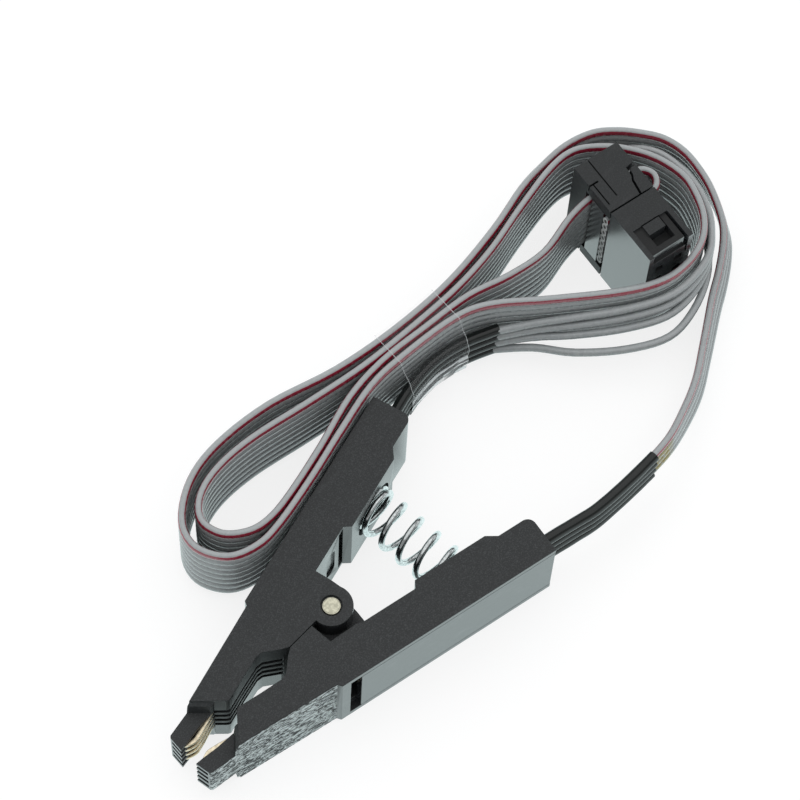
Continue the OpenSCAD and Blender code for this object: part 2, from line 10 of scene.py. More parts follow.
import bmesh
import bpy
from bpy.props import FloatProperty, FloatVectorProperty, IntProperty, PointerProperty
from mathutils import Matrix, Vector
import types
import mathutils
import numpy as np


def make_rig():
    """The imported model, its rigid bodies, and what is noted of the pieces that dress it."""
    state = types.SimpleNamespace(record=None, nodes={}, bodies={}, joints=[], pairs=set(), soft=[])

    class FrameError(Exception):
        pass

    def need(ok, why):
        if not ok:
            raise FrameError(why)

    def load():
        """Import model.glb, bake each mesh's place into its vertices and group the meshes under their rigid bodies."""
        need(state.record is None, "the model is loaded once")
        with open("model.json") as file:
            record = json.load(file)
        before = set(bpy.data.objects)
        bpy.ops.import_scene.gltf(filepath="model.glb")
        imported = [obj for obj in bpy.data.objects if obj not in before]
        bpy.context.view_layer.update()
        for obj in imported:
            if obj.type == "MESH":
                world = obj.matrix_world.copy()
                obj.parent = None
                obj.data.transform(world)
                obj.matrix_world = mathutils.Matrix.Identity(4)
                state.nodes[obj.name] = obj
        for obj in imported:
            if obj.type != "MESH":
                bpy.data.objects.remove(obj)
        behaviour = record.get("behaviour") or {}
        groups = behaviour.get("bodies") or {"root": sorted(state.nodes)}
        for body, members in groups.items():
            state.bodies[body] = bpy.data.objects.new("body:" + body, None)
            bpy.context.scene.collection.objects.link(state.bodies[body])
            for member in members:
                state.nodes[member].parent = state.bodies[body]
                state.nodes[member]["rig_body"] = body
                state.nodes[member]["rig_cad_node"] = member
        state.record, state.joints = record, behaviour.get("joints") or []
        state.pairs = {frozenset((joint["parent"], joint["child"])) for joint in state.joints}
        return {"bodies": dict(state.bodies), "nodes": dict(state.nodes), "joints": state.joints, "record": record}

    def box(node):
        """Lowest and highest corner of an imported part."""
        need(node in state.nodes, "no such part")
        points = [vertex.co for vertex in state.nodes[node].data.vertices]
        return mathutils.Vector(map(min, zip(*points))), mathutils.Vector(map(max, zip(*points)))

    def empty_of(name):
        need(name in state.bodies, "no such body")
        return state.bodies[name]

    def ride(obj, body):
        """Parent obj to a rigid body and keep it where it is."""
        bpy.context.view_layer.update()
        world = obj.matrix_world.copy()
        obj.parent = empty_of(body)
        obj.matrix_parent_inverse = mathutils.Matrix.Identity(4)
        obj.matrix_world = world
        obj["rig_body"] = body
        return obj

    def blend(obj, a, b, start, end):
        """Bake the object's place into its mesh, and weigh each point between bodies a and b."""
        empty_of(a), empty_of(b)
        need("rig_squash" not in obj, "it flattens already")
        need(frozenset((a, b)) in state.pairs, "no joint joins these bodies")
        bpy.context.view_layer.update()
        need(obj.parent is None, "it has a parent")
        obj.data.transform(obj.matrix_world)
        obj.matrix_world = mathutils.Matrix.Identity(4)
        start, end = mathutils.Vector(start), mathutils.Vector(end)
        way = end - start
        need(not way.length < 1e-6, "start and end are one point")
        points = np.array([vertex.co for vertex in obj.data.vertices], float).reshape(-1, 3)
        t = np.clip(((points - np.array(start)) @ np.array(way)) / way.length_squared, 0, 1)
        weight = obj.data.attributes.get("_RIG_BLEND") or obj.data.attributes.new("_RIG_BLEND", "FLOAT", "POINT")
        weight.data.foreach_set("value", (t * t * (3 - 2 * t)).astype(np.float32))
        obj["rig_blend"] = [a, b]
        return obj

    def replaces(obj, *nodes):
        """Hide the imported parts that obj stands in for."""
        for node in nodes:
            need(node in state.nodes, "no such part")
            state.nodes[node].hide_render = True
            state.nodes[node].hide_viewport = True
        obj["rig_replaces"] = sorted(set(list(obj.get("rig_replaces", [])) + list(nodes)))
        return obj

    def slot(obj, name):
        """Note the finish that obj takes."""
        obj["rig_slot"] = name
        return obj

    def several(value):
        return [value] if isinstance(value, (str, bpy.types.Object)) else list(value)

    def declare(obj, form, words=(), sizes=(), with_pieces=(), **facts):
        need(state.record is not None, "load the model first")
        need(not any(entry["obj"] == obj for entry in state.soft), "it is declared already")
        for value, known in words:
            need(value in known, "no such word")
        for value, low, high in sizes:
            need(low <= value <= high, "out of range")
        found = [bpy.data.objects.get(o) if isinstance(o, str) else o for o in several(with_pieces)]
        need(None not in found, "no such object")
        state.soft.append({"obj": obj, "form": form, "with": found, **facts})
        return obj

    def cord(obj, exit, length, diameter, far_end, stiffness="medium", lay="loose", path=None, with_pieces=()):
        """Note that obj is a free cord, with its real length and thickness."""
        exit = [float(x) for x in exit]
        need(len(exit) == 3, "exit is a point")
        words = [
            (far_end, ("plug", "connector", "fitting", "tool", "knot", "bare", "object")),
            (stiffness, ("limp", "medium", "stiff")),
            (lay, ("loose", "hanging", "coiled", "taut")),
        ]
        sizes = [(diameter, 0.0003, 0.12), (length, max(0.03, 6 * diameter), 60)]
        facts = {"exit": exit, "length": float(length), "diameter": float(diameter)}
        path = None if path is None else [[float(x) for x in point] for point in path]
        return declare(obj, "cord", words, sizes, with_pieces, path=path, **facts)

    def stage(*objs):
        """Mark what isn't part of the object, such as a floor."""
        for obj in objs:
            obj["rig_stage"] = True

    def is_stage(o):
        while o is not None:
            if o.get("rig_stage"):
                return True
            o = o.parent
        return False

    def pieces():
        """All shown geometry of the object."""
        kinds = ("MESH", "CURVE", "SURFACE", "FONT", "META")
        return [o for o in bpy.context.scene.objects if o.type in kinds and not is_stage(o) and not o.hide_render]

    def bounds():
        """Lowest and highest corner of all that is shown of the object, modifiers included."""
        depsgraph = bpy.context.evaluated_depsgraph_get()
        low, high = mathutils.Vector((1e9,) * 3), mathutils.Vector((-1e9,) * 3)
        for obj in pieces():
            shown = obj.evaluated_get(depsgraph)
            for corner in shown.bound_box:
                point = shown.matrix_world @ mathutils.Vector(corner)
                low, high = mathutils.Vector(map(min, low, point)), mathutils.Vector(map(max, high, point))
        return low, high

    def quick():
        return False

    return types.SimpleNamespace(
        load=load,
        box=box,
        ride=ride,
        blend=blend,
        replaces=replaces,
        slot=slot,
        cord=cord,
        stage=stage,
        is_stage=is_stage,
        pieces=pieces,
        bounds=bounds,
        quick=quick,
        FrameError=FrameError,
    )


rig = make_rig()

bl_info = {
    "name": "Spring test clip",
    "version": (1, 0, 0),
    "blender": (4, 5, 0),
    "location": "View3D > Sidebar > Test clip",
    "description": "Builds the dressed test clip, its ribbon cable and its socket",
    "category": "Object",
}

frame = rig.load()
cad_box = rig.bounds()

MM = 0.001
ROOT, CHILD = "left_side", "right_side"
# each side's body, and which way along Y is outward
SIDES = {"left": (ROOT, 1), "right": (CHILD, -1)}

# the clip's own sizes, as in the part's source
MID_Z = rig.box("left_arm")[1].z / 2
LEAD_PITCH = 1.27 * MM
STACK = [1.5, 0.5, -0.5, -1.5]
GRAIN_BACK = -5.9 * MM
RIBBON_Z = (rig.box("ribbon_cable")[0].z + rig.box("ribbon_cable")[1].z) / 2

# the socket's own frame
SOCKET_AT = Vector((55.44, 7.11, 0)) * MM
SOCKET_TURN = math.radians(-12.4)
SOCKET_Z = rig.box("socket_body")[1].z / 2
# along its depth, in millimetres: the ribbon's joint, its fold, the mating face and the latch
JOINT_V = 0.5
FOLD_V = 3.65
MATING_FACE_V = -7.15
LATCH_LENGTH = 3.9


def in_socket(u, v):
    """From the socket's own frame, in millimetres, to the clip's, at the socket's mid height."""
    c, s = math.cos(SOCKET_TURN), math.sin(SOCKET_TURN)
    return (SOCKET_AT.x / MM + u * c - v * s, SOCKET_AT.y / MM + u * s + v * c, SOCKET_Z / MM)


# the cable's centre line, in millimetres: through the socket, round its loops and to the split
RIBBON_Z_MM = RIBBON_Z / MM
FOLD_ROUTE = [in_socket(u, v) for u, v in (
    (-2.9, JOINT_V), (0, JOINT_V), (2.9, JOINT_V), (4.3, JOINT_V + 0.4),
    (4.9, (JOINT_V + FOLD_V) / 2), (4.3, FOLD_V - 0.4), (2.9, FOLD_V), (0, FOLD_V), (-2.9, FOLD_V),
)] + [(50.5, 11.5, 6.6), (46, 11.05, 5.7)]
RIBBON_XY = [
    (41, 11.75), (36, 13.4), (30, 14.2), (24, 14.85), (18.5, 14.5), (12, 12.8), (6, 11.5),
    (2.5, 11.15), (0, 11.75), (-2.1, 13.6), (-2.5, 16.2), (-0.6, 18.2), (3, 19.1),
    (8, 18.8), (15, 17.3), (22, 15.95), (29, 15.25), (36, 14.9), (42, 15.3), (48, 16.4),
    (54, 17.2), (57.4, 16.8), (59.9, 14.9), (61.7, 12.5), (63, 9.5), (63.35, 6.3),
    (62.7, 3.9), (61, 1.1), (58.5, -0.75), (55.3, -1.35), (52, -0.8), (48, 1.5), (42, 6.5),
    (37, 10.9), (33, 12.7), (26, 13.65), (21, 13.75), (15, 12.55), (9, 11.15), (3, 10.05),
    (-0.5, 10), (-3.6, 11.4), (-5.1, 14.6), (-3.9, 17.7), (0, 20.2), (5, 21), (12, 20.2),
    (20, 17.75), (28, 16.4), (36, 16), (44, 16.75), (50, 17.9),
]
UPPER_Z = RIBBON_Z_MM + 2 * LEAD_PITCH / MM
LOWER_Z = RIBBON_Z_MM - 2 * LEAD_PITCH / MM
MID_Z_MM = MID_Z / MM
# each half goes on from the split; the last value is how far its wires spread apart
RIGHT_ROUTE = [
    (50.05, 17.92, UPPER_Z, 0), (54, 18.35, 8, 0), (57.6, 18.1, 8.2, 0), (60.8, 17, 8.2, 0.2),
    (63, 15.2, 8.1, 0.5), (64.7, 13, 8, 0.8), (65.9, 10.8, 7.9, 1), (66.3, 8.2, 7.7, 1),
    (65.9, 5.5, 7.3, 1), (65.1, 3, 6.7, 1), (63.6, 0.1, 5.6, 1), (61.9, -1.6, 4.6, 1),
    (59.4, -3.2, 3.5, 1), (56.7, -4.6, 3, 1), (51.8, -7.5, 2.8, 0.9), (47.7, -9.8, 3, 0.8),
    (43.5, -11.4, 3.8, 0.6), (39.6, -12.5, 4.8, 0.3), (37.4, -12.85, MID_Z_MM, 0),
]
LEFT_ROUTE = [
    (50.05, 17.92, LOWER_Z, 0), (54, 18.3, LOWER_Z, 0), (57.6, 17.9, LOWER_Z, 0),
    (60.3, 16, 3.9, 0), (62.2, 14.3, 5.7, 0), (63.6, 12.3, 6.9, 0), (64.5, 9.9, 7.3, 0),
    (64.6, 7, 7.3, 0), (64, 4.2, 7.3, 0), (62.7, 1.6, 7.3, 0), (61, -0.3, 7.3, 0.05),
    (58.7, -1.9, 7.3, 0.3), (55.3, -2.5, 7.2, 0.7), (51.6, -1.9, 7, 1), (47.3, 0.6, 6.8, 1),
    (43, 4.1, 6.3, 0.8), (39.7, 7, 5.7, 0.35), (37.2, 9.05, MID_Z_MM, 0),
]
ROUTES = {"left": LEFT_ROUTE, "right": RIGHT_ROUTE}
SPREAD = {
    "left": [Vector((-0.6, -0.8, 0)) * far for far in (0, 0.45, 1.1, 3)],
    "right": [Vector((0.63, -0.78, 0)) * far for far in (0, 0.35, 0.65, 1)],
}

# the sleeves' centre lines in plan, from inside each arm to the wires
SLEEVE_PITCH = 1.45 * MM
LEFT_SLEEVE = [(6.8, 7.4), (21.4, 10.77), (23.6, 11.32), (26.2, 11.75), (29.2, 11.85),
               (32, 11.35), (34.6, 10.4), (36.8, 9.35)]
RIGHT_SLEEVE = [(6.8, -7.4), (21.4, -10.77), (25.6, -11.8), (28.2, -12.4), (32.6, -12.75),
                (36.9, -12.85)]
SLEEVES = {"left": LEFT_SLEEVE, "right": RIGHT_SLEEVE}

# the camera: what it looks at, from how far, which way, how steeply and how far rolled
CAMERA_TARGET = Vector((25.85, 13.6, 0)) * MM
CAMERA_DISTANCE = 360.6 * MM
CAMERA_HEADING = Vector((0.7771, 0.6294, 0))
CAMERA_DOWN, CAMERA_ROLL = math.radians(64.977), math.radians(3.702)
CAMERA_LENS = 147.6

# the tape's ends along X, and the outermost strands that it holds, in millimetres
TAPE_FROM, TAPE_TO = 24.9, 33.2
NEAR_STRAND = [(21, 13.75), (26, 13.65), (33, 12.7), (37, 10.9)]
FAR_STRAND = [(20, 17.75), (28, 16.4), (36, 16)]
# how far the film stands off their centre lines, the sleeves' and the ribbon's
NEAR_OFF, FAR_OFF, SLEEVE_OFF, ABOVE, BELOW = 0.5, 0.43, 0.74, 5.25, 5.2


# ---- settings ----


def colour(name, about, value):
    """A colour setting, linear, without alpha."""
    return FloatVectorProperty(
        name=name, description=about, subtype="COLOR", size=3, min=0, max=1, default=value
    )


def length(name, about, value):
    """A length setting, given in millimetres and kept in metres."""
    return FloatProperty(
        name=name, description=about, default=value * MM, min=0, unit="LENGTH", precision=5
    )


class ClipSettings(bpy.types.PropertyGroup):
    """Finishes of the arms, the covers, the pin, the spring and the contacts."""

    plastic: colour("Arm plastic", "Glass-filled plastic of both arms", (0.013, 0.015, 0.016))
    # the pale colour of the flakes' tops is a painted highlight
    grain: colour("Coarse grain with painted highlights", "Raised flakes on the front sides of the arms", (0.55, 0.62, 0.62))
    cover: colour("Cover plastic", "Smooth plastic of the wire channel covers", (0.02, 0.023, 0.025))
    pin: colour("Pin", "Nickel of the hinge pin", (0.72, 0.7, 0.55))
    zinc: colour("Spring", "Bright zinc of the spring", (0.72, 0.76, 0.76))
    gold: colour("Contacts", "Pale gold of the contact strips", (0.96, 0.84, 0.62))
    edge: length("Moulded edge", "Radius of the moulded edges", 0.11)
    flake: length("Flake size", "Size of the coarse grain's flakes", 0.3)
    spring_steps: IntProperty(
        name="Spring steps", description="Points to each turn of the spring", default=40, min=12
    )


class CableSettings(bpy.types.PropertyGroup):
    """Sizes and finishes of the cable, the sleeves, the tape and the socket."""

    grey: colour("Insulation", "Grey vinyl of the ribbon cable", (0.38, 0.4, 0.405))
    red: colour("Stripe", "Red stripe along the first wire", (0.27, 0.018, 0.04))
    resin: colour("Resin", "Amber flux left where the wires meet the right sleeves", (0.3, 0.25, 0.08))
    sleeve: colour("Sleeve", "Black shrink sleeve", (0.005, 0.007, 0.0065))
    socket: colour("Socket plastic", "Dark grey plastic of the socket", (0.018, 0.02, 0.022))
    cut: colour("Cut vinyl", "Cut ends of the insulation", (0.55, 0.57, 0.56))
    strands: colour("Cut strands", "Cut ends of the strands", (0.02, 0.018, 0.016))
    # this pale colour shows where the painted highlights make the film opaque
    film: colour("Tape", "Clear film of the tape", (0.85, 0.88, 0.9))
    thickness: length("Wire thickness", "Thickness of the ribbon cable", 0.84)
    parted: length("Parted height", "Height of a wire where it has parted from the next", 1.02)
    sleeve_width: length("Sleeve diameter", "Diameter of a shrink sleeve", 1.28)


class StageSettings(bpy.types.PropertyGroup):
    """Camera, lamps and floor."""

    floor: colour("Floor", "Pale floor, as it lights what stands on it", (0.88, 0.88, 0.88))
    seen: colour("Floor in view", "What shade can darken of the floor in view", (0.25, 0.25, 0.25))
    glow: FloatProperty(
        name="Floor glow", description="Brightness that shade leaves to the floor in view",
        default=0.8, min=0, max=1,
    )
    mirrored: colour("Mirrored floor", "Brightness of the floor in reflections", (0.85, 1.0, 1.0))
    sky: FloatProperty(
        name="Sky", description="Strength of the even light from all round", default=0.62, min=0
    )
    lamp: FloatProperty(
        name="Lamp", description="Power of the large overhead lamp", default=1.7, min=0
    )


# ---- node trees ----


class Graph:
    """Adds nodes to a tree, each with its settings and its inputs in one call."""

    def __init__(self, tree):
        self.tree = tree
        tree.nodes.clear()

    def add(self, kind, inputs=None, **settings):
        node = self.tree.nodes.new(kind)
        for name, value in settings.items():
            setattr(node, name, value)
        for key, value in (inputs or {}).items():
            self.feed(node.inputs[key], value)
        return node

    def feed(self, socket, value):
        if isinstance(value, bpy.types.NodeSocket):
            self.tree.links.new(value, socket)
        else:
            socket.default_value = value

    def math(self, operation, *values):
        return self.add("ShaderNodeMath", dict(enumerate(values)), operation=operation).outputs[0]

    def remap(self, value, low, high, to_low=0.0, to_high=1.0):
        """Value from low to high, held at the ends, as to_low to to_high."""
        ends = {"Value": value, "From Min": low, "From Max": high, "To Min": to_low, "To Max": to_high}
        return self.add("ShaderNodeMapRange", ends).outputs["Result"]

    def mix(self, share, first, second):
        node = self.add("ShaderNodeMix", data_type="RGBA")
        colours = [s for s in node.inputs if s.type == "RGBA"]
        self.feed(node.inputs["Factor"], share)
        self.feed(colours[0], first)
        self.feed(colours[1], second)
        return next(s for s in node.outputs if s.type == "RGBA")

    def noise(self, place, scale, detail=2.0, **more):
        """A noise texture's height; more gives its Roughness and its Distortion."""
        inputs = {"Vector": place, "Scale": scale, "Detail": detail, **more}
        return self.add("ShaderNodeTexNoise", inputs).outputs["Fac"]

    def shape(self, kind, inputs, **settings):
        """What a geometry node of this kind makes."""
        return self.add(f"GeometryNode{kind}", inputs, **settings).outputs[0]

    def map_parts(self):
        """The two coordinates of the piece's own map, and a zero."""
        place = self.add("ShaderNodeUVMap").outputs[0]
        return self.add("ShaderNodeSeparateXYZ", {0: place}).outputs


def rgba(value):
    return (*value, 1.0)


def node_tree(kind, name, inputs, outputs):
    """A Shader or Geometry tree with these named inputs and outputs, and what builds it."""
    tree = bpy.data.node_groups.new(name, f"{kind}NodeTree")
    for label, value_kind, value in inputs:
        socket = tree.interface.new_socket(
            label, in_out="INPUT", socket_type=f"NodeSocket{value_kind}"
        )
        if value is not None:
            socket.default_value = value
    for label in outputs:
        value_kind = "Float" if kind == "Shader" else "Geometry"
        tree.interface.new_socket(label, in_out="OUTPUT", socket_type=f"NodeSocket{value_kind}")
    graph = Graph(tree)
    return tree, graph, graph.add("NodeGroupInput").outputs, graph.add("NodeGroupOutput").inputs


def moulded_grain():
    """Fine spark-eroded grain of a moulded part: its height, and pale specks of glass fibre."""
    name = "Moulded grain"
    if name in bpy.data.node_groups:
        return bpy.data.node_groups[name]
    inputs = [("Vector", "Vector", None), ("Size", "Float", 0.1 * MM)]
    tree, graph, given, put = node_tree("Shader", name, inputs, ["Height", "Specks"])
    scale = graph.math("DIVIDE", 1.0, given["Size"])
    graph.feed(put["Height"], graph.noise(given["Vector"], scale, 3.0))
    broad = graph.noise(given["Vector"], graph.math("MULTIPLY", scale, 0.7), 5.0)
    graph.feed(put["Specks"], graph.remap(broad, 0.48, 0.76))
    return tree


def fine_scuffs():
    """Scratches and rubbed places, from 0 where the surface is clean to 1."""
    name = "Fine scuffs"
    if name in bpy.data.node_groups:
        return bpy.data.node_groups[name]
    inputs = [("Vector", "Vector", None), ("Size", "Float", 2 * MM)]
    tree, graph, given, put = node_tree("Shader", name, inputs, ["Scuffs"])
    scale = graph.math("DIVIDE", 1.0, given["Size"])
    stretched = graph.add(
        "ShaderNodeMapping", {"Vector": given["Vector"], "Scale": (0.35, 3.0, 1.6)}
    ).outputs["Vector"]
    sharp = graph.remap(graph.noise(stretched, scale, 6.0, Roughness=0.6), 0.56, 0.72)
    cloud = graph.remap(graph.noise(given["Vector"], scale), 0.4, 0.65)
    graph.feed(put["Scuffs"], graph.math("MULTIPLY", sharp, cloud))
    return tree


class Finish:
    """A material in the making: its graph, its Principled shader and its object coordinates."""

    def __init__(self, name):
        self.material = bpy.data.materials.new(name)
        self.material.use_nodes = True
        self.graph = Graph(self.material.node_tree)
        self.shader = self.graph.add("ShaderNodeBsdfPrincipled")
        self.graph.add("ShaderNodeOutputMaterial", {"Surface": self.shader.outputs[0]})
        self.place = self.graph.add("ShaderNodeTexCoord").outputs["Object"]

    def put(self, **values):
        """Sets the shader's sockets, whose names have _ for each space."""
        for key, value in values.items():
            self.graph.feed(self.shader.inputs[key.replace("_", " ")], value)

    def group(self, tree, **inputs):
        node = self.graph.add("ShaderNodeGroup", node_tree=tree)
        self.graph.feed(node.inputs["Vector"], self.place)
        for key, value in inputs.items():
            self.graph.feed(node.inputs[key], value)
        return node.outputs

    def bump(self, height, strength, distance):
        node = self.graph.add(
            "ShaderNodeBump", {"Height": height, "Strength": strength, "Distance": distance}
        )
        self.put(Normal=node.outputs["Normal"])


def plastic_finish(name, base, roughness, size=0.12 * MM, relief=0.25, specks=0.9, coat=0.0):
    """Moulded plastic: fine grain, pale specks and a few rubbed places."""
    finish = Finish(name)
    graph = finish.graph
    grain = finish.group(moulded_grain(), Size=size)
    scuffs = finish.group(fine_scuffs())["Scuffs"]
    pale = rgba([min(1, c * 2.6 + 0.02) for c in base])
    speckled = graph.mix(graph.math("MULTIPLY", grain["Specks"], specks), rgba(base), pale)
    worn = rgba([min(1, c * 1.7 + 0.008) for c in base])
    finish.put(
        Base_Color=graph.mix(graph.math("MULTIPLY", scuffs, 0.5), speckled, worn),
        Roughness=graph.remap(scuffs, 0, 1, roughness, roughness - 0.12),
        Coat_Weight=coat,
        Coat_Roughness=0.2,
    )
    finish.bump(grain["Height"], relief, 0.03 * MM)
    return finish.material


def satin_finish(name, base):
    """The smooth plastic of the arms' sides and covers, which mirrors the floor a little."""
    return plastic_finish(name, base, 0.25, size=0.3 * MM, relief=0.06, specks=0.2, coat=0.25)


def coarse_grain_finish(name, dark, pale, size):
    """Coarse raised flakes that run along the arm, as etched into the mould of its front side; their tops are painted
    pale as a painted highlight.
    """
    finish = Finish(name)
    graph = finish.graph
    slanted = graph.add(
        "ShaderNodeMapping",
        {"Vector": finish.place, "Rotation": (0, math.radians(12), 0), "Scale": (0.3, 1, 1)},
    ).outputs["Vector"]
    flakes = graph.noise(slanted, 1 / size, 3.0, Roughness=0.6, Distortion=1.2)
    # painted highlight: the flakes' tops take the pale colour, standing in for the light they catch
    painted_flake_highlight = graph.remap(flakes, 0.485, 0.53)
    finish.put(
        Base_Color=graph.mix(painted_flake_highlight, rgba(dark), rgba(pale)),
        Roughness=graph.remap(painted_flake_highlight, 0, 1, 0.7, 0.35),
    )
    finish.bump(flakes, 1.0, size * 0.6)
    return finish.material


def metal_finish(name, base, roughness, size, relief=0.15):
    """Plated metal with faint scuffs and a little unevenness."""
    finish = Finish(name)
    graph = finish.graph
    scuffs = finish.group(fine_scuffs(), Size=size)["Scuffs"]
    stains = graph.remap(finish.group(moulded_grain(), Size=size)["Height"], 0.4, 0.62)
    dulled = graph.math("MULTIPLY", graph.math("MAXIMUM", scuffs, stains), 0.6)
    finish.put(
        Base_Color=graph.mix(dulled, rgba(base), rgba([c * 0.5 for c in base])),
        Metallic=1.0,
        Roughness=graph.remap(scuffs, 0, 1, roughness, roughness + 0.18),
    )
    finish.bump(scuffs, relief, 0.01 * MM)
    return finish.material


def wire_finish(name, look, striped, resin):
    """Vinyl insulation; its map runs along the wire in metres and once round it."""
    finish = Finish(name)
    graph = finish.graph
    along, round_share, _ = graph.map_parts()
    fine = finish.group(moulded_grain(), Size=0.5 * MM)
    dusty = rgba([c * 0.72 for c in look.grey])
    base = graph.mix(graph.math("MULTIPLY", fine["Specks"], 0.25), rgba(look.grey), dusty)
    # 0.75 round is the bottom; painted shade: the grooves between wires are darkened in the base colour, so their tops
    # stay lighter
    off = graph.math("PINGPONG", graph.math("SUBTRACT", round_share, 0.75), 0.5)
    painted_groove_shade = graph.remap(off, 0.42, 0.24, 0, 0.62)
    base = graph.mix(painted_groove_shade, base, rgba([c * 0.3 for c in look.grey]))
    if striped:
        # the stripe lies along both faces, near their middle
        face = graph.math("ABSOLUTE", graph.math("SUBTRACT", off, 0.3))
        uneven = graph.math("MULTIPLY", graph.math("SUBTRACT", fine["Height"], 0.5), 0.03)
        stripe = graph.remap(graph.math("ADD", face, uneven), 0.088, 0.072)
        base = graph.mix(stripe, base, rgba(look.red))
    if resin:
        stain = graph.remap(along, 5.6 * MM, 4.2 * MM)
        patches = graph.remap(fine["Height"], 0.32, 0.5)
        base = graph.mix(graph.math("MULTIPLY", stain, patches), base, rgba(look.resin))
    finish.put(
        Base_Color=base,
        Roughness=graph.remap(fine["Height"], 0.3, 0.7, 0.22, 0.32),
        Coat_Weight=0.4,
        Coat_Roughness=0.1,
    )
    finish.bump(fine["Height"], 0.05, 0.02 * MM)
    return finish.material


def film_finish(name, base, glare):
    """Clear film: painted highlights make its cut edges white, and painted glare lies in pale streaks along the
    creases.
    """
    finish = Finish(name)
    graph = finish.graph
    from_edge, round_share, _ = graph.map_parts()
    # painted highlight: the film turns white and opaque along each cut edge
    cut = graph.remap(from_edge, 0.05 * MM, 0.11 * MM, 0.45, 0)
    # the painted edge highlight is left off the far side, and the painted glare off the upper part of the near side
    far_side = graph.math("ABSOLUTE", graph.math("SUBTRACT", round_share, 0.69))
    edge = graph.math("MULTIPLY", cut, graph.remap(far_side, 0.1, 0.12))
    stretched = graph.add(
        "ShaderNodeMapping",
        {"Vector": finish.place, "Scale": (0.22, 1, 1.6), "Rotation": (0, 0, 0.12)},
    ).outputs["Vector"]
    creases = graph.noise(stretched, 700.0, 3.0, Distortion=0.6)
    # painted highlight: pale glare streaks along the creases, on the lower part of the near side only
    lower = graph.remap(round_share, 0.17, 0.21)
    painted_glare_streaks = graph.math("MULTIPLY", graph.remap(creases, 0.46, 0.56, 0.2, 1), lower)
    film_and_painted_glare = graph.math("MAXIMUM", graph.math("MULTIPLY", painted_glare_streaks, glare), 0.03)
    finish.put(Base_Color=rgba(base), Roughness=0.14, Alpha=graph.math("MAXIMUM", film_and_painted_glare, edge))
    finish.bump(creases, 0.4, 0.2 * MM)
    return finish.material


# ---- meshes ----


def add_piece(name, mesh, materials, body, stands_for, slot):
    """A finished piece at the origin that stands for nodes; where body is set it rides on it."""
    piece = bpy.data.objects.new(name, mesh)
    bpy.context.scene.collection.objects.link(piece)
    for finish in materials:
        mesh.materials.append(finish)
    if body:
        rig.ride(piece, body)
    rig.replaces(piece, *stands_for)
    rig.slot(piece, slot)
    return piece


def smooth(mesh, angle):
    """Shades a mesh smooth but for edges sharper than this."""
    mesh.shade_smooth()
    mesh.set_sharp_from_angle(angle=math.radians(angle))


def on_curve(points, i, t):
    """A point of the smooth curve through the points, a share t of the way from the i-th on."""
    a, b, c, d = (points[min(max(j, 0), len(points) - 1)] for j in range(i - 1, i + 3))
    square, cube = 2 * a - 5 * b + 4 * c - d, 3 * b - a - 3 * c + d
    return (2 * b + (c - a) * t + square * t**2 + cube * t**3) / 2


def smooth_path(points, steps):
    """The smooth curve through the points, with as many steps to each stretch."""
    path = [on_curve(points, i, k / steps) for i in range(len(points) - 1) for k in range(steps)]
    return path + [points[-1]]


def at_x(points, x):
    """The height over x of the line through points in plan that run on in X."""
    for (x0, y0), (x1, y1) in zip(points, points[1:]):
        if x0 <= x <= x1:
            return y0 + (y1 - y0) * (x - x0) / (x1 - x0)
    return points[-1][1]


def path_length(path):
    return sum((b - a).length for a, b in zip(path, path[1:]))


def mesh_data(mesh, name):
    """Turns a mesh in the making into the data of a piece."""
    made = bpy.data.meshes.new(name)
    mesh.to_mesh(made)
    mesh.free()
    return made


def swept(name, path, sections):
    """A closed tube of upright sections, [across, up], along a path that stays nearly level.

    Its map runs along the path in metres and once round each section. The rim of each end takes
    the second material and its core the third.
    """
    mesh = bmesh.new()
    layer = mesh.loops.layers.uv.new("Along and round")
    rings, travelled, done = [], 0.0, []
    for i, point in enumerate(path):
        before, after = path[max(i - 1, 0)], path[min(i + 1, len(path) - 1)]
        heading = Vector((after.x - before.x, after.y - before.y, 0)).normalized()
        across = Vector((-heading.y, heading.x, 0))
        travelled += (point - before).length
        done.append(travelled)
        rings.append([mesh.verts.new(point + across * x + Vector((0, 0, y))) for x, y in sections[i]])
    sides = len(sections[0])
    for i in range(len(rings) - 1):
        for j in range(sides):
            k = (j + 1) % sides
            face = mesh.faces.new((rings[i][j], rings[i][k], rings[i + 1][k], rings[i + 1][j]))
            corners = ((i, j), (i, j + 1), (i + 1, j + 1), (i + 1, j))
            for loop, (u, v) in zip(face.loops, corners):
                loop[layer].uv = (done[u], v / sides)
    for ring, place in ((rings[0], path[0]), (rings[-1], path[-1])):
        inner = [mesh.verts.new(place + (v.co - place) * 0.5) for v in ring]
        for j in range(sides):
            k = (j + 1) % sides
            rim = mesh.faces.new((ring[j], ring[k], inner[k], inner[j]))
            rim.material_index = 1
        core = mesh.faces.new(inner)
        core.material_index = 2
    bmesh.ops.recalc_face_normals(mesh, faces=mesh.faces)
    made = mesh_data(mesh, name)
    smooth(made, 50)
    return made


def oval(width, height):
    """An upright oval a little fuller than an ellipse."""
    sides, power = 16, 2.3
    points = []
    for i in range(sides):
        a = 2 * math.pi * i / sides
        c, s = math.cos(a), math.sin(a)
        points.append((
            width / 2 * math.copysign(abs(c) ** (2 / power), c),
            height / 2 * math.copysign(abs(s) ** (2 / power), s),
        ))
    return points


def carved(mesh, tool):
    """What is left of one mesh when another is cut out of it."""
    pieces = [bpy.data.objects.new(made.name, made) for made in (mesh, tool)]
    for piece in pieces:
        bpy.context.collection.objects.link(piece)
    cut = pieces[0].modifiers.new("Cut", "BOOLEAN")
    cut.object, cut.solver = pieces[1], "EXACT"
    seen = pieces[0].evaluated_get(bpy.context.evaluated_depsgraph_get())
    left = bpy.data.meshes.new_from_object(seen)
    for piece in pieces:
        bpy.data.objects.remove(piece)
    return left


